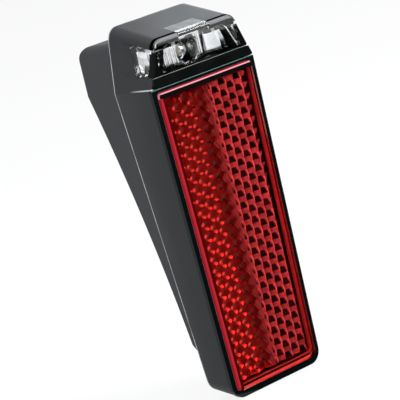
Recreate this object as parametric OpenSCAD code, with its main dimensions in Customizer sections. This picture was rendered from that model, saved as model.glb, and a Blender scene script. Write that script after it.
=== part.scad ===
// Mudguard rear light: reflex reflector below, lamp window with side windows above,
// and a wedge behind that sets the light upright on a sloping mudguard.
// +Z is up, the light shines towards -Y and the mudguard lies towards +Y.
// The origin is the mouth of the upper threaded insert.
// Sizes in the comments below are measured from the band, the line between window and reflector.

/* [Front] */
// Width of the front at the band
band_w = 30; // [28:0.2:33]
// How much narrower the foot is than the band
foot_taper = 3.6; // [2.4:0.2:4.4]
// Height of the front from the foot up to the band
face_drop = 68.8; // [66:0.2:74]
// Height of the front from the band up to the roof
brow_h = 9.9; // [9.4:0.1:11.5]
// Width of the front at the roof
brow_w = 23.4; // [22.4:0.2:25]
// Radius of the two corners at the foot
foot_r = 3; // [2.6:0.1:4]
// Radius of the two corners at the roof
brow_r = 2.4; // [1.8:0.1:2.8]
// Radius of the two corners of the roof at its back
roof_back_r = 3.2; // [2.4:0.1:3.4]

/* [Depth] */
// Depth of the housing at the band
band_depth = 11.9; // [11.6:0.1:13.5]
// Lean of the flat back of the housing, in degrees
rear_lean = 3.8; // [3:0.1:4.2]
// Rise of the roof towards the back, in degrees
roof_rise = 16; // [13:0.5:18]
// Rise of the underside towards the back, in degrees
foot_rise = 12; // [6:1:14]
// Wall of the housing
wall = 1.6; // [1.4:0.1:1.8]
// Wall of the housing beside the lamp, where the scoops are
lamp_wall = 2.4; // [2.3:0.1:2.6]

/* [Scoops and side windows] */
// Radius of the scoop's outline on the side wall
scoop_r = 5.3; // [4.8:0.1:5.4]
// Depth of the scoop
scoop_depth = 1; // [0.8:0.1:1.2]
// Distance of the scoop's centre behind the front
scoop_y = 4.3; // [3.9:0.1:4.7]
// Drop of the middle of the scoop below the roof's front edge
scoop_drop = 2.8; // [2.5:0.1:2.9]
// Length of the side window's upper edge behind the front
side_window_l = 7.6; // [6.6:0.1:7.8]
// Length of the side window's lower edge behind the front
side_window_foot = 5.2; // [4.4:0.1:5.6]

/* [Reflector] */
// Width of the bezel's strip beside the reflector
bezel_side = 1.2; // [1:0.1:1.4]
// Width of the bezel's strip above the reflector
bezel_top = 0.8; // [0.7:0.1:1.2]
// Width of the bezel's strip below the reflector
bezel_foot = 1.4; // [1.2:0.1:2]
// Thickness of the bezel's flange
flange_t = 0.9; // [0.8:0.1:1.1]
// Distance that the reflector's face stands out of the bezel
proud = 0.8; // [0.6:0.1:1.2]
// Radius of the reflector's front edge
reflector_edge_r = 0.7; // [0.4:0.1:0.8]
// Smooth border beside the prisms
border_side = 2.1; // [2:0.1:2.3]
// Smooth border above the prisms
border_top = 1.8; // [1.8:0.1:2.2]
// Width across the flats of one prism
prism_pitch = 2.56; // [2.5:0.02:2.7]
// Solid thickness in front of the prisms
prism_floor = 1.2; // [1.1:0.1:1.4]
// Gap between the two fields of prisms
field_gap = 0.2; // [0.1:0.05:0.4]

/* [Lamp] */
// Thickness of the clear window
lens_t = 1.4; // [1.2:0.1:1.6]
// Distance that the window stands out of the housing
lens_proud = 0.5; // [0.4:0.1:0.7]
// Width of the clear tab on the roof
tab_w = 9; // [7:0.2:10]
// Length of the clear tab on the roof
tab_l = 4.1; // [3.5:0.1:4.8]
// Radius of the clear dome over the diode
dome_r = 2.6; // [2.2:0.1:2.8]
// Number of flutes on each side of the dome
flutes = 5; // [3:1:6]
// Width of one flute
flute_w = 0.8; // [0.6:0.05:0.9]

/* [Fixing] */
// Distance between the two fixing screws
fix_pitch = 40; // [38:0.5:41]
// Bore radius of the threaded inserts, for an M5 screw
thread_r = 2.1; // [2:0.05:2.2]
// Outer radius of the threaded inserts
insert_r = 3.3; // [3.1:0.05:3.5]
// Length of the threaded inserts
insert_l = 3.6; // [3.2:0.1:3.8]
// Radius of the holes for the screws in the wedge
screw_hole_r = 2.75; // [2.65:0.05:3]
// Radius of the spigots round the inserts
spigot_r = 4.6; // [4.5:0.1:5]
// Height of the spigots above the back of the housing
spigot_h = 0.6; // [0.4:0.1:0.7]

/* [Wedge] */
// Outer radius of the mudguard along the wheel
guard_r = 380; // [330:5:460]
// Lean of the mudguard at the middle of the fixings, in degrees
guard_lean = 11.8; // [11.4:0.1:12.2]
// Distance of the mudguard's edge line behind the front, at the middle of the fixings
guard_y = 13.85; // [13.7:0.05:14.2]
// Height of the middle of the fixings below the band
guard_drop = 28; // [27:0.2:29]
// Height of the wedge's top above the band
wedge_top = 10.2; // [9:0.1:10.6]
// Height of the wedge's tip below the band
wedge_tip = 57.5; // [56.5:0.1:58]
// Radius of the wedge's upper back edge
wedge_r = 2.2; // [1.5:0.1:3]
// Wall of the wedge round its pockets
wedge_wall = 2; // [1.6:0.1:2.4]
// Width of the wiring space in the wedge
wiring_w = 18; // [15:0.5:19]
// Height of the wiring space in the wedge
wiring_h = 19; // [17:0.5:20]

/* [Electrics] */
// Thickness of the circuit board
board_t = 1; // [0.8:0.1:1.2]
// Gap between the circuit board and the side walls
board_gap = 1.4; // [1.2:0.1:2]
// Distance of the circuit board's front face before the back of the housing, at the band
board_set = 4.7; // [4.6:0.05:4.8]
// Gap between the storage capacitor and the walls in front of it and behind it
can_clear = 0.4; // [0.3:0.1:0.6]
// Length of the storage capacitor
can_l = 11; // [9:0.5:11.5]
// Width of the terminal blades
blade_w = 2.8; // [2.8:0.2:3.2]
// Thickness of the terminal blades
blade_t = 0.8; // [0.5:0.1:0.8]
// Length of the terminal blades
blade_l = 6.4; // [6:0.1:7]
// Distance between the terminal blades
blade_pitch = 9; // [7.5:0.5:10]

/* [Hidden] */
$fn = 48;
big = 200;
over = 2;
fit = 0.1;
// Thickness of the layers that round edges are drawn through
sliver = 0.01;

foot_w = band_w - foot_taper;

// Slopes of the sides below and above the band
side_slope = foot_taper / 2 / face_drop;
brow_slope = (band_w - brow_w) / 2 / brow_h;

function half_w(z) = band_w / 2 + z * (z < 0 ? side_slope : -brow_slope);
function rear_y(z) = band_depth + z * tan(rear_lean);
function roof_z(y) = brow_h + y * tan(roof_rise);
function foot_z(y) = -face_drop + y * tan(foot_rise);

// Housing details
band_edge_r = 0.3;
rebate = 1.05;
tray_depth = 3.9;
tray_floor = 0.9;
tray_wall = 0.5;
seal_w = 0.9;
seal_back = tray_depth + 0.7;
side_window_low = 2.2;
side_window_rise = 0.7;
brow_drop = 1.9;
scoop_z = brow_h - scoop_drop;
window_step = 0.4;
boss_floor = 0.8;

// Insets from the front's outline in the order foot, right, top, left: of the tray's seat in the
// housing, which clears the rising underside, of the bezel's opening, of the reflector's rim
// inside the tray, and of the prisms
every = [1, 1, 1, 1];
tray_insets = [rebate + seal_back * tan(foot_rise), rebate, 0, rebate];
tray_corners = [foot_r - rebate, foot_r - rebate, band_edge_r, band_edge_r];
bezel_insets = [bezel_foot, bezel_side, bezel_top, bezel_side];
rim_insets = [tray_insets[0], tray_insets[1], bezel_top, tray_insets[3]] + (fit + tray_wall) * every;
field_insets = bezel_insets + [border_side, border_side, border_top, border_side];
pocket_corners = [1.2, 1.2, 0.8, 0.8];
field_r = 0.5;
prism_root = 0.1;

// Lamp details
lens_low = 2.2;
lens_insets = [lens_low, 0.3, 0.1, 0.3];
lens_edge_r = 0.4;
mask_t = 1.2;
mask_y = lens_t - lens_proud + fit;
mask_low = 0.5;
bar_back = 0.1;
mask_sill = 2.3;
mask_post = 1.3;
mask_block_x = 4;
mask_block_z = brow_h - 2.5;
clip_x = 5.8;
clip_w = 1;
clip_t = 0.5;
clip_fit = 0.05;
chamber_low = 1;
chamber_high = brow_h - 0.9;
chamber_wall = 1;
bowl_x = 6.2;
bowl_ahead = 1;
dish_r = 5;
dish_back = 1;
chamber_back = 1.4;
flute_start = 150;
led_rise = 0.2;
led_z = (chamber_low + chamber_high) / 2 + led_rise;
led_w = 3.5;
led_dome_r = 1.1;

// Electrical details
board_y = band_depth - board_set;
board_back = board_y + board_t;
led_y = board_y - 0.8;
optic_y = led_y - 1.5;
chamber_y = mask_y + mask_t + fit;
bowl_r = board_y - fit - chamber_y - chamber_back + bowl_ahead;
flute_step = 1.15 * asin(flute_w / bowl_r);
board_low = -21.6;
board_high = brow_h - 2.5;
board_w = 2 * (half_w(board_low) - wall - board_gap);
board_top_w = 2 * (half_w(board_high) - lamp_wall - board_gap);
post_x = board_w / 2 - 1.7;
spigot_gap = 0.8;
can_gap = 0.4;
post_z = -18.4;
post_r = 1.9;
pilot_r = 0.75;
screw_l = 1.1;
screw_head_r = 1.6;
screw_head_t = 0.9;
can_z = -8.7;
can_d = rear_y(can_z - can_l / 2) - wall - tray_depth - 2 * can_clear;
can_x = (can_d - board_w) / 2;
can_y = tray_depth + can_clear + can_d / 2;
lead_pitch = 2;
lead_r = 0.25;
lead_l = 1.2;
chip_x = board_w / 2 - 3;
chip_space = board_y - tray_depth;
rectifier_size = [4.7, 3.9, chip_space - 0.9];
driver_size = [4, 5, chip_space - 1.2];
resistor_size = [1.2, 2.4, 0.6];
resistor_pitch = 1.8;
rectifier_z = -12.6;
driver_z = -6.4;
resistor_z = -13.6;
terminal_z = -16.2;
block_h = 3.4;
block_out = 1.4;
blade_back = rear_y(terminal_z) + 2.6;
wiring_top = -13.4;

// How much narrower the wedge's pockets are at their upper corners than at the band
pocket_lean = 2.2;

// Outline of the reflector's part of the front, anticlockwise from the foot's left corner
face_points = [[-foot_w / 2, -face_drop], [foot_w / 2, -face_drop], [band_w / 2, 0], [-band_w / 2, 0]];

// Outline of the window's part of the front, in the same order
brow_points = [[-band_w / 2, 0], [band_w / 2, 0], [brow_w / 2, brow_h], [-brow_w / 2, brow_h]];

// Line through two outline points, moved inwards by d, as a point and a direction
function moved_edge(a, b, d) =
    let (u = (b - a) / norm(b - a))
    [a + d * [-u[1], u[0]], u];

function crossing(e, f) =
    let (c = e[1][0] * f[1][1] - e[1][1] * f[1][0], w = f[0] - e[0])
    e[0] + e[1] * (w[0] * f[1][1] - w[1] * f[1][0]) / c;

// Convex outline with each edge moved inwards by its own distance
function inset_outline(points, d) =
    let (
        n = len(points),
        edges = [for (i = [0 : n - 1]) moved_edge(points[i], points[(i + 1) % n], d[i])]
    )
    [for (i = [0 : n - 1]) crossing(edges[(i + n - 1) % n], edges[i])];

function direction(a, b) = (b - a) / norm(b - a);

// Convex outline with a round corner of its own radius at each point
function round_outline(points, r, steps = 6) =
    let (n = len(points))
    [for (i = [0 : n - 1])
        let (
            back = direction(points[i], points[(i + n - 1) % n]),
            ahead = direction(points[i], points[(i + 1) % n]),
            half = acos(back * ahead) / 2,
            centre = points[i] + (back + ahead) / norm(back + ahead) * r[i] / sin(half),
            start = atan2(back[0], -back[1])
        )
        for (k = [0 : steps])
            let (a = start + (180 - 2 * half) * k / steps)
            centre + r[i] * [cos(a), sin(a)]];

function face_outline(d, r) = round_outline(inset_outline(face_points, d), r);

// Stands a flat outline up, from depth y0 to depth y1
module slab(y0, y1) {
    translate([0, y1, 0]) rotate([90, 0, 0]) linear_extrude(y1 - y0) children();
}

// Stretches an outline of depth and height across the width
module across(w) {
    rotate([90, 0, 90]) translate([0, 0, -w / 2]) linear_extrude(w) children();
}

module box(from, to) {
    translate(from) cube(to - from);
}

// Cylinder or disc from depth y0 to depth y1
module along(r, y0, y1) {
    translate([0, y0, 0]) rotate([-90, 0, 0]) cylinder(r = r, h = y1 - y0);
}

// Everything in front of the flat back of the housing, moved forwards by d
module before_back(d = 0) {
    translate([0, band_depth - d, 0]) rotate([-rear_lean, 0, 0]) box([-big, -big, -big], [big, 0, big]);
}

// Seats of the two fixings on the mudguard, number 1 above and number -1 below
lean_up = [sin(guard_lean), cos(guard_lean)];
lean_out = [cos(guard_lean), -sin(guard_lean)];
function seat(k) = [guard_y, -guard_drop] + k * fix_pitch / 2 * lean_up;

// Distance from a seat forwards to the back of the housing, along the screw
function seat_depth(k) = (seat(k)[0] - band_depth - tan(rear_lean) * seat(k)[1])
    / (lean_out[0] - tan(rear_lean) * lean_out[1]);
function mouth(k) = seat(k) - (seat_depth(k) - spigot_h) * lean_out;

// Turns +Z onto the way a screw leaves insert number k
module at_mouth(k) {
    translate([0, mouth(k)[0], mouth(k)[1]]) rotate([-90 - guard_lean, 0, 0]) children();
}

// Moves the model from the band to its own frame
module in_frame() {
    translate([0, -mouth(1)[0], -mouth(1)[1]]) children();
}

// Two thin discs whose rims touch the side line and the level line of a corner
module corner_discs(w, z, y, r, lean, way) {
    for (side = [-1, 1])
        translate([side * (w - r * (1 - sin(lean)) / cos(lean)), y, z + way * r])
            rotate([90, 0, 0]) cylinder(r = r, h = sliver, $fn = 32);
}

// Outer form of the housing, past its front and its back; d moves the walls inwards
module outer_form(d = 0, d_brow = 0, d_roof = 0) {
    hull()
        for (y = [-over, band_depth + over]) {
            corner_discs(brow_w / 2 - d_brow, roof_z(y) - d_roof, y, y < 0 ? brow_r : roof_back_r,
                atan(brow_slope), -1);
            corner_discs(band_w / 2 - max(d, d_brow), band_edge_r, y, band_edge_r, 0, -1);
            corner_discs(foot_w / 2 - d, foot_z(y) + d, y, foot_r - d / 2, atan(side_slope), 1);
        }
}

// Distance of the side wall from the middle, above the band
function side_x(y, z) = band_w / 2 - (band_w - brow_w) / 2 * (z - band_edge_r) / (roof_z(y) - band_edge_r);

// Round-ended gouge that makes the scoop on one side. It lies on the side wall, along the roof's slope.
module scoop(side) {
    r = (scoop_r * scoop_r + scoop_depth * scoop_depth) / 2 / scoop_depth;
    lean = atan(side_x(scoop_y, scoop_z - 1) - side_x(scoop_y, scoop_z));
    turn = atan(side_x(scoop_y + 1, scoop_z) - side_x(scoop_y, scoop_z));
    intersection() {
        // Half section of the gouge, turned about its own axis
        mirror([side < 0 ? 1 : 0, 0, 0]) translate([side_x(scoop_y, scoop_z), scoop_y, scoop_z])
            rotate([0, 0, -turn]) rotate([0, -lean, 0]) translate([r - scoop_depth, 0, 0])
                rotate([90 + roof_rise, 0, 0]) rotate_extrude($fn = 96) {
                    intersection() {
                        circle(r);
                        translate([0, -r]) square(r);
                    }
                    square([r, scoop_y + 2 * over]);
                }
        below_brow();
    }
}

// Everything under the slope of the scoop's upper edge
module below_brow() {
    translate([0, 0, brow_h - brow_drop]) rotate([roof_rise, 0, 0])
        box([-big, -big, -big], [big, big, 0]);
}

// Outline of a side window, as depth and height; d makes it smaller
module side_window_outline(d = 0) {
    back = side_window_l - d;
    top = brow_h - brow_drop - window_step - d;
    polygon(round_outline([
        [-over, side_window_low + d],
        [side_window_foot - d, side_window_low + side_window_rise + d],
        [back, top + back * tan(roof_rise)],
        [-over, top - over * tan(roof_rise)]], [0.1, 1.2, 0.6, 0.1], 4));
}

module post_places() {
    for (side = [-1, 1]) translate([side * post_x, 0, post_z]) children();
}

module housing() {
    color("dimgray") in_frame() difference() {
        union() {
            difference() {
                intersection() {
                    outer_form();
                    before_back();
                    box([-big, 0, -big], [big, big, big]);
                }
                intersection() {
                    outer_form(wall, lamp_wall, wall);
                    before_back(wall);
                }
                slab(-over, seal_back) polygon(face_outline(tray_insets, tray_corners));
                box([-big, -over, -big], [big, flange_t, 0]);
                for (side = [-1, 1]) scoop(side);
                across(big) side_window_outline();
                box([-tab_w / 2, -over, brow_h / 2], [tab_w / 2, tab_l, big]);
            }
            difference() {
                for (k = [1, -1]) at_mouth(k) translate([0, 0, -insert_l - boss_floor])
                    cylinder(r = spigot_r, h = insert_l + boss_floor);
                box([-big, -big, -big], [big, tray_depth + fit, 0]);
            }
            post_places() along(post_r, board_back, rear_y(post_z) - wall / 2);
        }
        for (k = [1, -1]) at_mouth(k) translate([0, 0, -insert_l])
            cylinder(r = insert_r, h = insert_l + over);
        post_places() along(pilot_r, board_y, board_back + screw_l);
        block_form(fit);
    }
}

module front_bezel() {
    color("black") in_frame() difference() {
        union() {
            slab(0, flange_t) polygon(face_outline([0, 0, fit, 0], [foot_r, foot_r, 0.3, 0.3]));
            slab(0, tray_depth) polygon(face_outline(tray_insets + fit * every, tray_corners));
        }
        slab(-over, flange_t) polygon(face_outline(bezel_insets, pocket_corners));
        slab(0, tray_depth - tray_floor) polygon(face_outline(rim_insets, pocket_corners));
    }
}

// Prisms: cells of a lattice of hexagons, each a cube standing on its corner.
// A place is a pair of whole numbers, in half sides across and half pitches up.
cell_side = prism_pitch / sqrt(3);
prism_depth = prism_pitch * sqrt(2 / 3);
prism_valley = prism_floor - proud;

// The middle of a cell is deepest, and its corners lie at half depth and at nothing by turns
function prism_y(i) = let (m = (i % 3 + 3) % 3)
    prism_valley + prism_depth * (m == 0 ? 1 : m == 1 ? 0.5 : 0);
function prism_point(p) = [p[0] * cell_side / 2, prism_y(p[0]), p[1] * prism_pitch / 2];
function base_point(p) = [p[0] * cell_side / 2, prism_valley - prism_root, p[1] * prism_pitch / 2];

// Corners of a cell, anticlockwise seen from the front, and the middles of its neighbours
corner_steps = [[2, 0], [1, 1], [-1, 1], [-2, 0], [-1, -1], [1, -1]];
neighbour_steps = [[3, 1], [0, 2], [-3, 1], [-3, -1], [0, -2], [3, -1]];

function field_cell(p) =
    let (x = p[0] * cell_side / 2, z = p[1] * prism_pitch / 2)
    x > -half_w(z) + field_insets[1] - cell_side && x < cell_side
    && z > -face_drop + field_insets[0] - cell_side && z < -field_insets[2] + cell_side;

module prism_field() {
    columns = ceil(band_w / 2 / (1.5 * cell_side)) + 1;
    rows = ceil(face_drop / prism_pitch) + 1;
    cells = [for (c = [-columns : 1], row = [-rows : 1])
        let (p = [3 * c, 2 * row + (c % 2 == 0 ? 0 : 1)])
        if (field_cell(p)) p];
    // Three square faces on each cell, a flat base, and a wall where there is no neighbour
    faces = [for (p = cells) each concat(
        [for (k = [0, 2, 4])
            [prism_point(p), prism_point(p + corner_steps[k + 1]),
                prism_point(p + corner_steps[k]), prism_point(p + corner_steps[(k + 5) % 6])]],
        [[for (s = corner_steps) base_point(p + s)]],
        [for (k = [0 : 5])
            if (!field_cell(p + neighbour_steps[k]))
                let (a = p + corner_steps[k], b = p + corner_steps[(k + 1) % 6])
                [base_point(b), base_point(a), prism_point(a), prism_point(b)]])];
    counts = [for (f = faces) len(f)];
    starts = [for (i = 0, at = 0; i < len(faces); at = at + counts[i], i = i + 1) at];
    intersection() {
        polyhedron(points = [for (f = faces) each f],
            faces = [for (i = [0 : len(faces) - 1]) [for (j = [counts[i] - 1 : -1 : 0]) starts[i] + j]]);
        slab(-over, tray_depth) polygon(field_outline(true));
    }
}

// Outline of the prisms, of both fields or of the left field alone
function field_outline(left_half) =
    let (p = inset_outline(face_points, field_insets - (left_half ? prism_root : 0) * every),
        x = -field_gap / 2)
    left_half
        ? round_outline([p[0], [x, p[0][1]], [x, p[3][1]], p[3]], [field_r, 0.01, 0.01, field_r], 4)
        : round_outline(p, [field_r, field_r, field_r, field_r], 4);

module reflex_reflector() {
    color("red") in_frame() {
        // Smooth front with a round edge
        hull() {
            for (k = [0 : 3])
                let (d = reflector_edge_r * (1 - sin(30 * k)), y = reflector_edge_r * (1 - cos(30 * k)))
                slab(y - proud, y - proud + sliver)
                    polygon(face_outline(bezel_insets + (fit + d) * every, pocket_corners));
            slab(0, prism_valley) polygon(face_outline(bezel_insets + fit * every, pocket_corners));
        }
        // Border that stands back round the prisms, in two steps
        difference() {
            union() {
                slab(prism_valley - prism_root, flange_t)
                    polygon(face_outline(bezel_insets + fit * every, pocket_corners));
                slab(prism_valley, tray_depth - tray_floor)
                    polygon(face_outline(rim_insets + fit * every, pocket_corners));
            }
            slab(prism_valley - 2 * prism_root, tray_depth) polygon(field_outline(false));
        }
        prism_field();
        mirror([1, 0, 0]) prism_field();
    }
}

module window_lens() {
    color("lightcyan", 0.5) in_frame() difference() {
        union() {
            // Front plate with a round edge
            hull()
                for (k = [0 : 3])
                    let (d = lens_edge_r * (1 - sin(30 * k)), y = lens_edge_r * (1 - cos(30 * k)))
                    slab(y - lens_proud, k == 3 ? 0 : y - lens_proud + sliver)
                        polygon(round_outline(inset_outline(brow_points, lens_insets + d * every),
                            [0.4, 0.4, brow_r, brow_r]));
            // Plug of the front plate, side windows and roof tab
            intersection() {
                difference() {
                    outer_form();
                    difference() {
                        outer_form(wall, lamp_wall, lens_t);
                        slab(-big, lens_t - lens_proud) square(2 * big, center = true);
                    }
                }
                union() {
                    across(big) side_window_outline(fit);
                    intersection() {
                        lamp_space(fit, -over, lens_t - lens_proud);
                        box([-big, -big, lens_low], [big, big, big]);
                    }
                    box([fit - tab_w / 2, -over, brow_h / 2], [tab_w / 2 - fit, tab_l - fit, big]);
                }
                box([-big, 0, -big], [big, big, big]);
            }
        }
        for (side = [-1, 1]) intersection() {
            scoop(side);
            box([-big, 0, -big], [big, big, big]);
        }
    }
}

// Space inside the lamp, d inside its walls
module lamp_space(d, y0, y1) {
    intersection() {
        outer_form(wall + d, lamp_wall + d, wall + d);
        box([-big, y0, -big], [big, y1, big]);
    }
}

module lens_mask() {
    color("black") in_frame() difference() {
        union() {
            intersection() {
                lamp_space(fit, mask_y, mask_y + mask_t);
                box([-big, -big, mask_low], [big, big, big]);
            }
            // Bar under the front window, flush with it
            intersection() {
                slab(bar_back - lens_proud, mask_y + mask_t / 2) polygon(inset_outline(brow_points,
                    [fit, lamp_wall + fit, 0, lamp_wall + fit]));
                box([-big, -big, -big], [big, big, lens_low - fit]);
            }
            intersection() {
                slab(bar_back - lens_proud, 0) polygon(round_outline(inset_outline(brow_points,
                    [fit, lens_insets[1], 0, lens_insets[1]]), [0.3, 0.3, 0.3, 0.3]));
                box([-big, -big, -big], [big, big, lens_low - fit]);
            }
        }
        // Opening for the light, with a block hanging into it on each side of its middle
        difference() {
            slab(-over, big) polygon(round_outline(
                inset_outline(brow_points,
                    [mask_sill, lamp_wall + mask_post, -over, lamp_wall + mask_post]),
                [0.4, 0.4, 0.4, 0.4], 4));
            for (side = [-1, 1]) mirror([side < 0 ? 1 : 0, 0, 0])
                box([mask_block_x, -big, mask_block_z], [big, big, big]);
        }
        clip_form(clip_fit);
    }
}

// Clips, flush with the front of the hanging blocks; d makes their pockets
module clip_form(d = 0) {
    for (side = [-1, 1])
        box([side * clip_x - clip_w / 2 - d, mask_y - over * sign(d), mask_block_z - d],
            [side * clip_x + clip_w / 2 + d, mask_y + clip_t + d, mask_block_z + clip_w + d]);
}

module mask_clips() {
    color("gray") in_frame() clip_form();
}

module light_chamber() {
    color("white") in_frame() difference() {
        union() {
            difference() {
                intersection() {
                    lamp_space(fit, chamber_y, board_y - fit);
                    box([-big, -big, chamber_low], [big, big, chamber_high]);
                }
                for (side = [-1, 1]) {
                    translate([side * bowl_x, chamber_y - bowl_ahead, chamber_low + chamber_wall])
                        cylinder(r = bowl_r, h = chamber_high - chamber_low - 2 * chamber_wall);
                    mirror([side < 0 ? 1 : 0, 0, 0])
                        box([bowl_x, -big, chamber_low + chamber_wall],
                            [big, chamber_y - bowl_ahead + bowl_r * 0.6, chamber_high - chamber_wall]);
                }
                intersection() {
                    translate([0, led_y - dish_back - dish_r, led_z]) sphere(dish_r);
                    box([-big, -big, chamber_low + chamber_wall], [big, big, chamber_high - chamber_wall]);
                }
            }
            for (side = [-1, 1], k = [0 : flutes - 1])
                let (a = flute_start - k * flute_step)
                translate([side * (bowl_x + bowl_r * cos(a)), chamber_y - bowl_ahead + bowl_r * sin(a),
                    chamber_low + chamber_wall / 2])
                    cylinder(r = flute_w / 2, h = chamber_high - chamber_low - chamber_wall, $fn = 16);
        }
        translate([0, 0, led_z]) along(dome_r + 0.5 + fit, -over, big);
        box([-big, -big, -big], [big, chamber_y, big]);
    }
}

module led_optic() {
    // Half section turned about the light's axis: dome, barrel, foot and a hollow for the diode
    color("azure", 0.6) in_frame() translate([0, led_y, led_z]) rotate([90, 0, 0])
        rotate_extrude() difference() {
            union() {
                intersection() {
                    translate([0, led_y - optic_y]) circle(dome_r);
                    translate([0, led_y - optic_y - 0.5]) square(2 * dome_r);
                }
                square([dome_r, led_y - optic_y]);
                square([dome_r + 0.5, 0.8]);
            }
            circle(led_dome_r + fit);
        }
}

module led() {
    color("gold") in_frame() translate([0, 0, led_z]) {
        box([-led_w / 2, led_y, -led_w / 2], [led_w / 2, board_y, led_w / 2]);
        intersection() {
            translate([0, led_y, 0]) sphere(led_dome_r);
            box([-big, -big, -big], [big, led_y + 0.1, big]);
        }
    }
}

module circuit_board() {
    color("darkgreen") in_frame() difference() {
        slab(board_y, board_back) polygon([
            [-board_w / 2, board_low], [board_w / 2, board_low], [board_w / 2, 0],
            [board_top_w / 2, board_high], [-board_top_w / 2, board_high], [-board_w / 2, 0]]);
        translate([0, 0, mouth(1)[1] + 1]) along(spigot_r + spigot_gap, -over, big);
        post_places() along(pilot_r + 0.2, -over, big);
        box([-big, -big, can_z - can_l / 2 - can_gap],
            [can_x + can_d / 2 + can_gap, big, can_z + can_l / 2 + can_gap]);
        for (side = [-1, 1]) blade_leg(side, fit);
    }
}

module storage_capacitor() {
    color("midnightblue") in_frame() {
        translate([can_x, can_y, can_z - can_l / 2]) cylinder(r = can_d / 2, h = can_l);
        for (side = [-1, 1])
            translate([can_x + side * lead_pitch / 2, board_y - lead_r - fit, can_z - can_l / 2 - lead_l])
                cylinder(r = lead_r, h = lead_l + fit, $fn = 16);
    }
}

// Component that lies on the front of the board, by its middle and its size
module on_board(x, z, size) {
    box([x - size[0] / 2, board_y - size[2], z - size[1] / 2], [x + size[0] / 2, board_y, z + size[1] / 2]);
}

module rectifier() {
    color("black") in_frame() on_board(chip_x, rectifier_z, rectifier_size);
}

module driver_chip() {
    color("black") in_frame() on_board(chip_x, driver_z, driver_size);
}

module resistors() {
    color("black") in_frame()
        for (k = [-1.5 : 1.5]) on_board(resistor_pitch * k, resistor_z, resistor_size);
}

// Blades: a leg through the board and the block, and a blade that points down
module blade_leg(side, d = 0) {
    box([side * blade_pitch / 2 - blade_w / 2 - d, board_y - 0.6 - d, terminal_z - blade_t / 2 - d],
        [side * blade_pitch / 2 + blade_w / 2 + d, blade_back, terminal_z + blade_t / 2 + d]);
}

module terminal(side) {
    in_frame() {
        blade_leg(side);
        translate([side * blade_pitch / 2, 0, terminal_z])
            box([-blade_w / 2, blade_back - blade_t, -blade_t / 2 - blade_l],
                [blade_w / 2, blade_back, blade_t / 2]);
    }
}

module live_terminal() {
    color("silver") terminal(-1);
}

module earth_terminal() {
    color("silver") terminal(1);
}

module block_form(d = 0) {
    w = (blade_pitch + blade_w) / 2 + 1;
    box([-w - d, board_back + fit, terminal_z - block_h / 2 - d],
        [w + d, rear_y(terminal_z) + block_out, terminal_z + block_h / 2 + d]);
}

module terminal_block() {
    color("ivory") in_frame() difference() {
        block_form();
        for (side = [-1, 1]) blade_leg(side, fit / 2);
    }
}

module board_screws() {
    color("silver") in_frame() post_places() {
        along(screw_head_r, board_y - screw_head_t, board_y);
        along(pilot_r - 0.05, board_y - 0.1, board_back + screw_l - 0.3);
    }
}

module front_seal() {
    color("darkslategray") in_frame() difference() {
        slab(tray_depth, seal_back - fit)
            polygon(face_outline(tray_insets + 2 * fit * every, tray_corners));
        slab(0, big) polygon(face_outline(tray_insets + seal_w * every, pocket_corners));
    }
}

module insert(k) {
    color("goldenrod") in_frame() at_mouth(k) translate([0, 0, -insert_l]) difference() {
        cylinder(r = insert_r, h = insert_l);
        translate([0, 0, -over]) cylinder(r = thread_r, h = insert_l + 2 * over);
    }
}

module upper_insert() {
    insert(1);
}

module lower_insert() {
    insert(-1);
}

// Wedge between the flat back of the housing and the mudguard

axle = [guard_y, -guard_drop] + guard_r * lean_out;
function guard_edge_y(z) = axle[0] - sqrt(pow(guard_r, 2) - pow(z - axle[1], 2));

module mudguard() {
    translate([0, axle[0], axle[1]]) rotate([0, 90, 0])
        cylinder(r = guard_r, h = big, center = true, $fn = 720);
}

module wedge_side() {
    top = [guard_edge_y(wedge_top), wedge_top];
    slope = (guard_edge_y(wedge_top) - guard_edge_y(wedge_top - 0.1)) / 0.1;
    corner_run = 2 * wedge_r;
    polygon(round_outline([
        [rear_y(-wedge_tip), -wedge_tip],
        [guard_edge_y(2 - wedge_tip) + 0.4, 2 - wedge_tip],
        [top[0] - corner_run * slope, wedge_top - corner_run],
        top + [-0.1 * slope, -0.1],
        [rear_y(wedge_top), wedge_top]], [0.01, 0.3, 0.01, wedge_r, 0.01], 8));
}

module wedge_front() {
    top_w = band_w / 2 - (band_w - brow_w) / 2 * wedge_top / roof_z(band_depth);
    tip_w = half_w(-wedge_tip);
    polygon(round_outline([[-tip_w, -wedge_tip], [tip_w, -wedge_tip], [band_w / 2, 0], [top_w, wedge_top],
        [-top_w, wedge_top], [-band_w / 2, 0]], [0.3, 0.3, 0.3, brow_r, brow_r, 0.3]));
}

module mudguard_wedge() {
    color("dimgray") in_frame() difference() {
        intersection() {
            across(big) wedge_side();
            slab(0, big) wedge_front();
        }
        mudguard();
        for (k = [1, -1]) at_mouth(k) {
            translate([0, 0, -over]) cylinder(r = screw_hole_r, h = big);
            translate([0, 0, -over]) cylinder(r = spigot_r + fit, h = over + fit);
        }
        box([-wiring_w / 2, 0, wiring_top - wiring_h], [wiring_w / 2, big, wiring_top]);
        // Pockets open to the mudguard, on each side of the upper screw
        for (side = [-1, 1]) mirror([side < 0 ? 1 : 0, 0, 0])
            intersection() {
                translate([0, band_depth + wedge_wall, 0]) rotate([-rear_lean, 0, 0])
                    box([-big, 0, -big], [big, big, big]);
                slab(0, big) polygon(round_outline([[spigot_r + wedge_wall, wiring_top],
                    [half_w(wiring_top) - wedge_wall, wiring_top], [band_w / 2 - wedge_wall, 0],
                    [band_w / 2 - wedge_wall - pocket_lean, wedge_top - wedge_wall],
                    [spigot_r + wedge_wall, wedge_top - wedge_wall]], [0.6, 0.6, 0.6, 0.6, 0.6], 3));
            }
    }
}

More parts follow.
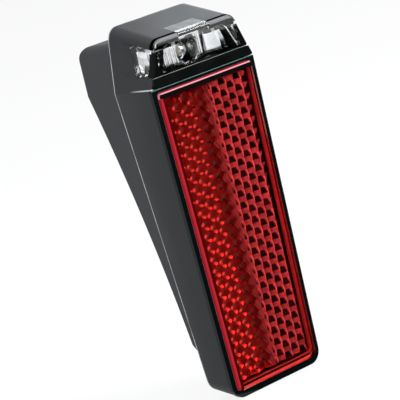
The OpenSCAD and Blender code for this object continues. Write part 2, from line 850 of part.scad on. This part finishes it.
housing();
front_bezel();
reflex_reflector();
window_lens();
lens_mask();
mask_clips();
light_chamber();
led_optic();
led();
circuit_board();
storage_capacitor();
rectifier();
driver_chip();
resistors();
live_terminal();
earth_terminal();
terminal_block();
board_screws();
front_seal();
upper_insert();
lower_insert();
mudguard_wedge();
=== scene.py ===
"""Looks, light and camera of a mudguard rear light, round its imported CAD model.

Metres, in the CAD model's frame: +Z up, the light shines towards -Y.
"""

import math

import bpy
from mathutils import Matrix, Vector


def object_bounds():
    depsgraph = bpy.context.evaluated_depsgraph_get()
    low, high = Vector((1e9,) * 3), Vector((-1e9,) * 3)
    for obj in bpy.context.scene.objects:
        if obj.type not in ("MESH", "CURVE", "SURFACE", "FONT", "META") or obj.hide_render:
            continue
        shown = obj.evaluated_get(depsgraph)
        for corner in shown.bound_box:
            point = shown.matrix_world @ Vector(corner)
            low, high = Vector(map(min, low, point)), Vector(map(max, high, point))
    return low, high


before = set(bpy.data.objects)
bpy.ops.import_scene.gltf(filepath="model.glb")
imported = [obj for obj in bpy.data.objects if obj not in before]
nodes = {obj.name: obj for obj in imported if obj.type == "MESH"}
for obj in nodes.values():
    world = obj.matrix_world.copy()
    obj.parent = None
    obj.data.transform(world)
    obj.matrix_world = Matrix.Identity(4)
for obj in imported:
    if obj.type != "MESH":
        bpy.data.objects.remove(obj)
cad_box = [list(v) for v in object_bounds()]
scene = bpy.context.scene
MM = 0.001

# Camera: a long lens, as far off as the photograph's faint perspective asks
CAMERA_AT = Vector((-0.354822, -0.421518, 0.078271))
CAMERA_RIGHT = Vector((0.713672, -0.658422, -0.239067))
CAMERA_UP = Vector((0.296409, -0.025371, 0.954724))

camera = bpy.data.objects.new("camera", bpy.data.cameras.new("camera"))
scene.collection.objects.link(camera)
scene.camera = camera
camera.data.sensor_width = 36
camera.data.lens = 233.3
camera.data.clip_start = 0.02
camera.data.clip_end = 20
turned = Matrix((CAMERA_RIGHT, CAMERA_UP, CAMERA_RIGHT.cross(CAMERA_UP))).transposed()
camera.matrix_world = Matrix.Translation(CAMERA_AT) @ turned.to_4x4()


class Paint:
    """A Principled material and short calls for the nodes that feed it."""

    def __init__(self, name, color, roughness, **constants):
        self.material = bpy.data.materials.new(name)
        self.material.use_nodes = True
        self.tree = self.material.node_tree
        self.shader = self.tree.nodes["Principled BSDF"]
        self.put(self.shader, "Base Color", (*color, 1))
        self.put(self.shader, "Roughness", roughness)
        for key, value in constants.items():
            self.put(self.shader, key.replace("_", " "), value)
        self.where = self.tree.nodes.new("ShaderNodeTexCoord").outputs["Object"]

    def put(self, node, key, value):
        socket = node.inputs[key]
        if isinstance(value, bpy.types.NodeSocket):
            self.tree.links.new(value, socket)
        else:
            socket.default_value = value

    def node(self, kind, out, **inputs):
        made = self.tree.nodes.new("ShaderNode" + kind)
        for key, value in inputs.items():
            self.put(made, key.replace("_", " "), value)
        return made.outputs[out]

    def math(self, kind, a, b):
        made = self.tree.nodes.new("ShaderNodeMath")
        made.operation = kind
        self.put(made, 0, a)
        self.put(made, 1, b)
        return made.outputs[0]

    def over(self, value, limit):
        return self.math("GREATER_THAN", value, limit)

    def under(self, value, limit):
        return self.math("LESS_THAN", value, limit)

    def all(self, first, *masks):
        """The masks multiplied: 1 where every one is 1."""
        for mask in masks:
            first = self.math("MULTIPLY", first, mask)
        return first

    def either(self, a, b):
        return self.math("MAXIMUM", a, b)

    def no(self, mask):
        return self.math("SUBTRACT", 1, mask)

    def less(self, start, mask, drop):
        """A value that falls by drop where the mask is 1."""
        return self.math("SUBTRACT", start, self.math("MULTIPLY", mask, drop))

    def magnitude(self, value):
        return self.math("ABSOLUTE", value, 0)

    def noise(self, size, detail=2.0, rough=0.5):
        """Noise whose spots are about size across, in metres."""
        return self.node("TexNoise", "Fac", Vector=self.where, Scale=1 / size, Detail=detail, Roughness=rough)

    def ramp(self, fac, low, high, to_low=0.0, to_high=1.0):
        return self.node("MapRange", "Result", Value=fac, From_Min=low, From_Max=high,
                         To_Min=to_low, To_Max=to_high)

    def vary(self, fac, least, most):
        """From least to most over the middle of a noise."""
        return self.ramp(fac, 0.3, 0.7, least, most)

    def mix(self, fac, a, b):
        made = self.tree.nodes.new("ShaderNodeMix")
        made.data_type = "RGBA"
        self.put(made, "Factor", fac)
        for socket, value in ((6, a), (7, b)):
            self.put(made, socket, value if isinstance(value, bpy.types.NodeSocket) else (*value, 1))
        return made.outputs[2]

    def bump(self, height, distance, strength):
        return self.node("Bump", "Normal", Height=height, Distance=distance, Strength=strength)

    def facing(self):
        """The three parts of the flat face's normal."""
        shape = self.tree.nodes.new("ShaderNodeNewGeometry")
        return self.node("SeparateXYZ", slice(None), Vector=shape.outputs["True Normal"])

    def place(self):
        """Across, behind the front plane and above the band line."""
        x, y, z = self.node("SeparateXYZ", slice(None), Vector=self.where)
        return x, self.math("SUBTRACT", y, BAND.y), self.math("SUBTRACT", z, BAND.z)

    def set(self, **links):
        for key, value in links.items():
            self.put(self.shader, key.replace("_", " "), value)
        return self


def times(color, share):
    return tuple(c * share for c in color)


# Where the band line crosses the front plane, in the model's frame
BAND = Vector((0, -12.018207, 7.185542)) * MM
GRAIN = 0.22 * MM
GRAIN_DEPTH = 0.02 * MM
GRAIN_STRENGTH = 0.6
CLOUD = 12 * MM
GLOSS_FLOW = 6 * MM
GLOSS_WAVE = 0.008 * MM
METAL_MARKS = 0.3 * MM
METAL_DEPTH = 0.004 * MM
MATT_LEVEL = 0.25
DARK = (0.002, 0.002, 0.002)


def grained(name, color, roughness, grain=GRAIN, **constants):
    """Moulded plastic with a fine spark-eroded grain."""
    p = Paint(name, color, roughness, IOR=1.5, **constants)
    cloud = p.noise(CLOUD, 3)
    height = p.noise(grain, 2, 0.6)
    return p.set(Base_Color=p.mix(cloud, times(color, 0.88), times(color, 1.12)),
                 Roughness=p.vary(cloud, roughness - 0.05, roughness + 0.05),
                 Normal=p.bump(height, GRAIN_DEPTH, GRAIN_STRENGTH)).material


def polished(name, color, roughness, **constants):
    """Glossy plastic with a trace of uneven flow."""
    p = Paint(name, color, roughness, **constants)
    flow = p.noise(GLOSS_FLOW)
    return p.set(Roughness=p.vary(flow, roughness * 0.7, roughness * 1.4),
                 Normal=p.bump(flow, GLOSS_WAVE, 0.5)).material


def metal(name, color, roughness, lay=(1, 1, 1)):
    """Metal with fine marks, drawn out where lay is under 1."""
    p = Paint(name, color, roughness, Metallic=1.0)
    stretch = p.node("Mapping", "Vector", Vector=p.where, Scale=lay)
    marks = p.node("TexNoise", "Fac", Vector=stretch, Scale=1 / METAL_MARKS, Detail=3)
    return p.set(Base_Color=p.mix(p.ramp(marks, 0.35, 0.65), times(color, 0.9), color),
                 Roughness=p.vary(marks, roughness * 0.7, roughness * 1.3),
                 Normal=p.bump(marks, METAL_DEPTH, 0.5)).material


CLEAR = (0.97, 0.98, 0.985)
CLEAR_ROUGH = 0.012
CLEAR_FLOW = 4 * MM


def clear(name):
    """Clear plastic, evenly polished."""
    p = Paint(name, CLEAR, CLEAR_ROUGH, IOR=1.49, Transmission_Weight=1.0)
    return p.set(Roughness=p.vary(p.noise(CLEAR_FLOW), CLEAR_ROUGH * 0.5, CLEAR_ROUGH * 1.5)).material


# The clear cover's parts: its front reaches back to COVER_BACK, what lies on the roof is above
# ROOF_Z, and TAB_HALF is a little more than half the tab's width
COVER_BACK = 0.9 * MM
ROOF_Z = 9 * MM
TAB_HALF = 4.6 * MM
SIDE_X = 12 * MM
SIDE_Y = 1.6 * MM
POST_X = 11.75 * MM
POST_TOP = 7.4 * MM
COVER_FOOT = 2.6 * MM
FOOT_HIGHLIGHT_TOP = 2.32 * MM
SIDE_SHADE_TOP = 4.6 * MM
TAB_STREAKS = 1.5 * MM
SATIN_ROUGH = 0.3
SATIN_SHARE = 0.85
DULL = 0.42


def cover(name):
    """Clear plastic: satin on the roof with a painted highlight on its front edge beside the tab, dimmer at
    the sides by painted shade that deepens towards their foot, black at the corners and the lower end, with a
    painted highlight along the lowest edge.
    """
    p = Paint(name, CLEAR, CLEAR_ROUGH, IOR=1.49, Transmission_Weight=1.0)
    x, y, z = p.place()
    across = p.magnitude(x)
    roof = p.all(p.either(p.over(y, COVER_BACK), p.over(across, TAB_HALF)), p.over(z, ROOF_Z))
    # The satin part's front edge beside the tab, lighter: a painted highlight
    rim_highlight = p.all(p.under(y, COVER_BACK), roof)
    side = p.all(p.over(across, SIDE_X), p.over(y, SIDE_Y))
    post = p.all(p.over(across, POST_X), p.under(y, SIDE_Y), p.under(z, POST_TOP))
    black = p.either(post, p.under(z, COVER_FOOT))
    flow = p.noise(CLEAR_FLOW)
    streaks = p.ramp(p.noise(TAB_STREAKS, 3), 0.4, 0.6)
    # The side windows tinted grey, darkest at their foot: painted shade
    side_painted_shade = p.mix(p.ramp(z, COVER_FOOT, SIDE_SHADE_TOP), (0.2, 0.21, 0.22), (0.66, 0.68, 0.69))
    tone = p.mix(side, CLEAR, side_painted_shade)
    tone = p.mix(roof, tone, p.mix(streaks, (0.055, 0.058, 0.062), (0.1, 0.105, 0.11)))
    tone = p.mix(rim_highlight, tone, (0.13, 0.135, 0.14))
    # Black, but grey at the very bottom: a painted highlight along the cover's lower edge
    black_and_foot_highlight = p.mix(p.under(z, FOOT_HIGHLIGHT_TOP), DARK, (0.5, 0.5, 0.5))
    shut = p.either(black, p.math("MULTIPLY", roof, SATIN_SHARE))
    rough = p.vary(flow, CLEAR_ROUGH * 0.5, CLEAR_ROUGH * 1.5)
    return p.set(Base_Color=p.mix(black, tone, black_and_foot_highlight),
                 Transmission_Weight=p.no(shut),
                 Specular_IOR_Level=p.less(0.5, p.either(black, roof), DULL),
                 Roughness=p.math("ADD", rough, p.math("MULTIPLY", roof, SATIN_ROUGH))).material


# The reflector: columns of prisms, their field and the lines on its front's upper and left border, the pale
# upper line a painted highlight.
# TAPER is the half width lost over each length down
CELL = 2.56 * math.sqrt(3) / 2 * MM
TAPER = 0.02616
FIELD_HALF = 11.72 * MM
FIELD_TOP = -2.55 * MM
FIELD_FOOT = -65.35 * MM
FRONT_SKIN = 0.02 * MM
SHINE_SPOTS = 2.2 * MM
LIP_FOOT = -2.2 * MM
LIP_HIGHLIGHT_FOOT = -1.3 * MM
RED_FOOT = -1.05 * MM
LEFT_DARK = 12.45 * MM
LEFT_RED = 13.15 * MM
WALL_FACING = 0.5
DOWN_FACING = -0.4
SIDE_FACING = -0.6
FIELD_PAINTED_LIGHT = (1, 0.42, 0.5)
FIELD_PAINTED_SHADE = (0.004, 0.001, 0.001)
RIM_TONE = (0.85, 0.22, 0.25)
FOOT_TONE = (0.8, 0.2, 0.2)


def painted_prism_shine(p, x, facing):
    """Painted light and shade on the right field's prism faces, by their direction: how much light each is
    painted as sending back, from 0 to 1.
    """
    nx, nz = facing
    along = p.math("FRACT", p.math("DIVIDE", p.math("ADD", x, CELL / 3), CELL), 0)
    down = p.under(nz, DOWN_FACING)
    level = p.no(p.under(nx, SIDE_FACING))
    lit = p.math("ADD", p.math("MULTIPLY", p.no(down), p.ramp(along, 0.05, 0.5, 0.4, 1.0)),
                 p.math("MULTIPLY", down, p.ramp(along, 0.66, 0.84)))
    shine = p.no(p.math("MULTIPLY", level, p.no(lit)))
    return p.math("MULTIPLY", shine, p.vary(p.noise(SHINE_SPOTS, 3, 0.6), 0.65, 1.25))


def reflex(name):
    """Clear red plastic, whose left prisms are left to refraction; the rest of its back is painted, the right
    prisms with painted light and shade by their direction.
    """
    p = Paint(name, (1.0, 0.2, 0.17), 0.015, IOR=1.5, Transmission_Weight=1.0)
    x, y, z = p.place()
    facing = p.facing()
    way = p.math("SIGN", facing[1], 0)
    wall = p.under(p.magnitude(facing[1]), WALL_FACING)
    reach = p.math("ADD", p.magnitude(x), p.math("MULTIPLY", z, -TAPER))
    inside = p.all(p.under(reach, FIELD_HALF), p.under(z, FIELD_TOP), p.over(z, FIELD_FOOT))
    behind = p.over(y, FRONT_SKIN)
    left = p.no(p.over(x, 0))

    # The right field's prism faces painted bright or dark by their direction: painted light and shade
    shine = painted_prism_shine(p, x, (p.math("MULTIPLY", facing[0], way), p.math("MULTIPLY", facing[2], way)))
    border = p.mix(p.under(z, FIELD_FOOT), RIM_TONE, FOOT_TONE)
    border = p.mix(p.all(p.over(z, FIELD_TOP), p.no(wall)), border, DARK)
    tone = p.mix(inside, border, p.mix(shine, FIELD_PAINTED_SHADE, FIELD_PAINTED_LIGHT))

    upper_lip = p.all(p.over(z, LIP_FOOT), p.no(behind))
    # A pale pink line along the upper edge: a painted highlight
    tone = p.mix(p.all(upper_lip, p.over(z, LIP_HIGHLIGHT_FOOT)), tone, (0.5, 0.2, 0.23))
    tone = p.mix(p.all(upper_lip, p.over(z, RED_FOOT)), tone, (0.22, 0.006, 0.014))
    left_lip = p.all(p.over(reach, LEFT_DARK), p.under(x, 0), p.no(behind), p.under(z, LIP_FOOT))
    tone = p.mix(left_lip, tone, p.mix(p.over(reach, LEFT_RED), (0.03, 0.001, 0.001), (0.3, 0.012, 0.02)))
    lip = p.either(upper_lip, left_lip)

    painted = p.all(behind, p.either(wall, p.no(p.all(inside, left))))
    back = p.tree.nodes.new("ShaderNodeBsdfPrincipled")
    p.put(back, "Base Color", tone)
    p.put(back, "Roughness", 0.35)
    p.put(back, "IOR", p.less(1.5, lip, 0.45))
    p.put(back, "Specular IOR Level", p.less(0.5, lip, 0.46))
    blend = p.tree.nodes.new("ShaderNodeMixShader")
    p.put(blend, 0, p.either(painted, lip))
    p.put(blend, 1, p.shader.outputs[0])
    p.put(blend, 2, back.outputs[0])
    p.put(p.tree.nodes["Material Output"], "Surface", blend.outputs[0])
    return p.material


# The front frame: its tray lies deeper than TRAY_Y and is painted dull red as painted light, and its painted
# highlight on the upper edge is RIM_LINE high
TRAY_Y = 1.2 * MM
RIM_LINE = 0.22 * MM
RIM_DEPTH = 0.3 * MM


def frame_black(name, color, roughness):
    """Gloss black frame with a painted highlight along its upper edge; its tray is painted dull red instead
    of black, painted light that sends some red back to the left prisms.
    """
    p = Paint(name, color, roughness, Specular_IOR_Level=0.2)
    x, y, z = p.place()
    # The tray behind the left field painted dull red and rougher instead of gloss black: painted light for
    # the left prisms
    tray = p.all(p.over(y, TRAY_Y), p.under(x, 0))
    # A light teal strip along the upper edge: a painted highlight
    rim_highlight = p.all(p.over(z, -RIM_LINE), p.under(y, RIM_DEPTH))
    tone = p.mix(rim_highlight, p.mix(tray, color, (0.2, 0.1, 0.1)), (0.12, 0.2, 0.19))
    return p.set(Base_Color=tone,
                 Roughness=p.math("ADD", roughness, p.math("MULTIPLY", tray, 0.5))).material


# The housing: its leaning back, the painted highlights along its rear edge and band line, and what is black
# round the cover, with a painted shadow along its front edge
BACK_Y = 11.9 * MM
BACK_LEAN = math.tan(math.radians(3.8))
REAR_HIGHLIGHT_WIDTH = 0.22 * MM
REAR_HIGHLIGHT_SPOTS = 4 * MM
SIDE_ONLY = 0.93
BAND_HIGHLIGHT_LOW = 0.02 * MM
BAND_HIGHLIGHT_HIGH = 0.3 * MM
BAND_HIGHLIGHT_FADE = (3 * MM, 7 * MM)
FACE_Y = 1.3 * MM
FACE_LOW = 2.2 * MM
FACE_HIGH = 9.7 * MM
FACE_HALF = 12.2 * MM
FACE_FACING = 0.8
GAP_SHADOW_Y = 0.6 * MM
GAP_SHADOW_LOW = 6.5 * MM


def shell(name, color, roughness):
    """The housing's grained plastic, with painted highlights along its rear edge and band line, a black face
    behind the cover and a painted shadow along its front edge.
    """
    p = Paint(name, color, roughness, IOR=1.5, Specular_IOR_Level=MATT_LEVEL)
    x, y, z = p.place()
    forward = p.magnitude(p.facing()[1])
    cloud = p.noise(CLOUD, 3)
    from_back = p.math("SUBTRACT", p.math("ADD", BACK_Y, p.math("MULTIPLY", z, BACK_LEAN)), y)
    # A lighter line along the rear edge, broken up by noise: a painted highlight
    rear_highlight = p.all(p.over(from_back, -MM), p.under(from_back, REAR_HIGHLIGHT_WIDTH),
                 p.ramp(p.noise(REAR_HIGHLIGHT_SPOTS), 0.3, 0.6, 0.4, 1.0), p.under(forward, SIDE_ONLY))
    # A pale strip just above the band line, fading towards the back: a painted highlight
    line = p.all(p.over(z, BAND_HIGHLIGHT_LOW), p.under(z, BAND_HIGHLIGHT_HIGH), p.ramp(y, *BAND_HIGHLIGHT_FADE, 0.9, 0.0))
    face = p.all(p.under(y, FACE_Y), p.over(z, FACE_LOW), p.under(z, FACE_HIGH),
                 p.under(p.magnitude(x), FACE_HALF), p.over(forward, FACE_FACING))
    # Black on the face behind the cover; the black along the front edge higher up is a painted shadow of the
    # gap round the cover
    black = p.either(face, p.all(p.under(y, GAP_SHADOW_Y), p.over(z, GAP_SHADOW_LOW)))
    tone = p.mix(cloud, times(color, 0.88), times(color, 1.12))
    tone = p.mix(rear_highlight, tone, (0.42, 0.43, 0.44))
    tone = p.mix(line, tone, (0.5, 0.51, 0.52))
    return p.set(Base_Color=p.mix(black, tone, (0.001, 0.001, 0.001)),
                 Specular_IOR_Level=p.math("MULTIPLY", p.no(black), MATT_LEVEL),
                 Roughness=p.vary(cloud, roughness - 0.05, roughness + 0.05),
                 Normal=p.bump(p.noise(GRAIN, 2, 0.6), GRAIN_DEPTH, GRAIN_STRENGTH)).material


CHAMBER_MARKS = 2 * MM


def chamber(name, color, roughness):
    """Metallised walls over a black floor."""
    p = Paint(name, color, roughness)
    x, y, z = p.place()
    marks = p.noise(CHAMBER_MARKS, 3)
    ground = p.under(z, COVER_FOOT)
    tone = p.mix(p.ramp(marks, 0.35, 0.65), times(color, 0.9), color)
    return p.set(Base_Color=p.mix(ground, tone, (0.003, 0.003, 0.003)),
                 Metallic=p.no(ground),
                 Roughness=p.vary(marks, roughness * 0.7, roughness * 1.3)).material


# One material for each piece, or for the several pieces of a row
PAINTS = (
    (("housing",), shell("housing_grain", (0.016, 0.0168, 0.0192), 0.5)),
    (("mudguard_wedge",), grained("wedge_grain", (0.03, 0.0308, 0.034), 0.55, 0.3 * MM,
                                  Specular_IOR_Level=MATT_LEVEL)),
    (("front_bezel",), frame_black("gloss_black", (0.001, 0.0025, 0.0025), 0.1)),
    (("lens_mask",), polished("gloss_black_mask", (0.001, 0.0015, 0.0015), 0.12, Specular_IOR_Level=0.12)),
    (("mask_clips",), polished("grey_plastic", (0.28, 0.28, 0.28), 0.35)),
    (("reflex_reflector",), reflex("red_clear")),
    (("window_lens",), cover("clear_cover")),
    (("light_chamber",), chamber("metallised", (0.97, 0.97, 0.98), 0.1)),
    (("led_optic",), clear("clear_window")),
    (("led",), polished("diode", (0.66, 0.63, 0.5), 0.4)),
    (("circuit_board",), polished("solder_resist", (0.004, 0.03, 0.014), 0.3)),
    (("storage_capacitor",), polished("can_sleeve", (0.015, 0.02, 0.08), 0.3)),
    (("rectifier", "driver_chip", "resistors"), grained("chip", (0.02, 0.02, 0.02), 0.5, 0.1 * MM)),
    (("live_terminal", "earth_terminal"), metal("tinned", (0.7, 0.69, 0.65), 0.3, (1, 1, 0.1))),
    (("terminal_block",), grained("cream", (0.55, 0.5, 0.38), 0.5)),
    (("board_screws",), metal("zinc", (0.62, 0.62, 0.64), 0.35)),
    (("front_seal",), grained("seal_rubber", (0.02, 0.02, 0.02), 0.8)),
    (("upper_insert", "lower_insert"), metal("brass", (0.74, 0.52, 0.22), 0.3)),
)
for names, paint in PAINTS:
    for name in names:
        nodes[name].data.materials.clear()
        nodes[name].data.materials.append(paint)


WELD = 0.002 * MM
FLAT_UNDER = math.radians(0.5)
EDGE_OVER = math.radians(28)


def soften(name, width):
    """Small rounds on the moulded edges of a piece."""
    piece = nodes[name]
    weld = piece.modifiers.new("weld", "WELD")
    weld.merge_threshold = WELD
    flat = piece.modifiers.new("flat", "DECIMATE")
    flat.decimate_type = "DISSOLVE"
    flat.angle_limit = FLAT_UNDER
    bevel = piece.modifiers.new("bevel", "BEVEL")
    bevel.width = width
    bevel.segments = 2
    bevel.limit_method = "ANGLE"
    bevel.angle_limit = EDGE_OVER
    bevel.harden_normals = True


soften("housing", 0.16 * MM)
soften("mudguard_wedge", 0.16 * MM)
soften("front_bezel", 0.14 * MM)


def stage_plane(name, at, size, turn=0):
    """A level card, turned by degrees."""
    mesh = bpy.data.meshes.new(name)
    w, h = size[0] / 2, size[1] / 2
    mesh.from_pydata([(-w, -h, 0), (w, -h, 0), (w, h, 0), (-w, h, 0)], [], [(0, 1, 2, 3)])
    made = bpy.data.objects.new(name, mesh)
    scene.collection.objects.link(made)
    made.location = at
    made.rotation_euler.z = math.radians(turn)
    return made


def shown_white(tree, soft, out, weight):
    """White where the camera, a reflection or a refraction looks, else the given shader."""
    path = tree.nodes.new("ShaderNodeLightPath")
    seen = path.outputs["Is Camera Ray"]
    for key in ("Is Glossy Ray", "Is Transmission Ray"):
        either = tree.nodes.new("ShaderNodeMath")
        either.operation = "MAXIMUM"
        tree.links.new(seen, either.inputs[0])
        tree.links.new(path.outputs[key], either.inputs[1])
        seen = either.outputs[0]
    scaled = tree.nodes.new("ShaderNodeMath")
    scaled.operation = "MULTIPLY"
    tree.links.new(seen, scaled.inputs[0])
    scaled.inputs[1].default_value = weight
    kind = "Background" if out.bl_idname == "ShaderNodeOutputWorld" else "Emission"
    white = tree.nodes.new("ShaderNode" + kind)
    white.inputs["Color"].default_value = (1, 1, 1, 1)
    white.inputs["Strength"].default_value = 1
    mix = tree.nodes.new("ShaderNodeMixShader")
    tree.links.new(scaled.outputs[0], mix.inputs[0])
    tree.links.new(soft, mix.inputs[1])
    tree.links.new(white.outputs[0], mix.inputs[2])
    tree.links.new(mix.outputs[0], out.inputs["Surface"])


# Pale floor and white surroundings
FLOOR_Z = cad_box[0][2]
FLOOR_GAP = 0.2 * MM
floor = stage_plane("floor", (0, 0, FLOOR_Z - FLOOR_GAP), (6, 6))
floor_paint = Paint("pale_floor", (0.86, 0.86, 0.86), 0.9)
floor.data.materials.append(floor_paint.material)
shown_white(floor_paint.tree, floor_paint.shader.outputs[0], floor_paint.tree.nodes["Material Output"], 0.85)

world = bpy.data.worlds.new("studio")
scene.world = world
world.use_nodes = True
sky = world.node_tree.nodes["Background"]
sky.inputs["Color"].default_value = (0.95, 0.97, 1, 1)
sky.inputs["Strength"].default_value = 0.55
shown_white(world.node_tree, sky.outputs[0], world.node_tree.nodes["World Output"], 1.0)

# A black card on the floor, where the smooth front mirrors it: it is seen in reflections only
card = stage_plane("flag_low", (0.21, -0.262, FLOOR_Z), (0.66, 0.34), -49.8)
card.data.materials.append(Paint("flag_low", (0.001, 0.001, 0.001), 1.0, Specular_IOR_Level=0.0).material)
card.visible_camera = False
card.visible_diffuse = False
card.visible_shadow = False

COOL = (0.88, 0.95, 1)


def softbox(name, at, aim, size, power, color=(1, 1, 1)):
    """A rectangular light that points from one place to another."""
    light = bpy.data.lights.new(name, "AREA")
    light.shape = "RECTANGLE"
    light.size, light.size_y = size
    light.energy = power
    light.color = color
    made = bpy.data.objects.new(name, light)
    scene.collection.objects.link(made)
    made.location = at
    made.rotation_euler = (Vector(aim) - Vector(at)).to_track_quat("-Z", "Y").to_euler()


softbox("key_above", at=(-0.1, 0.05, 0.6), aim=(0, 0, 0), size=(0.7, 0.5), power=1.35, color=COOL)
softbox("roof_right", at=(0.075, 0.045, 0.06), aim=(0.008, 0, 0.018), size=(0.04, 0.04), power=0.014,
        color=COOL)
softbox("side_left", at=(-0.6, -0.1, 0.15), aim=(0, 0, 0), size=(0.4, 0.5), power=1.4)
softbox("front_fill", at=(0.4, -0.6, 0.3), aim=(0, 0, -0.02), size=(0.5, 0.5), power=11.0)

# The prisms and the chamber need many bounces
BOUNCES = 24
scene.view_settings.view_transform = "Standard"
scene.cycles.max_bounces = BOUNCES
scene.cycles.glossy_bounces = BOUNCES
scene.cycles.transmission_bounces = BOUNCES
bpy.context.view_layer.update()
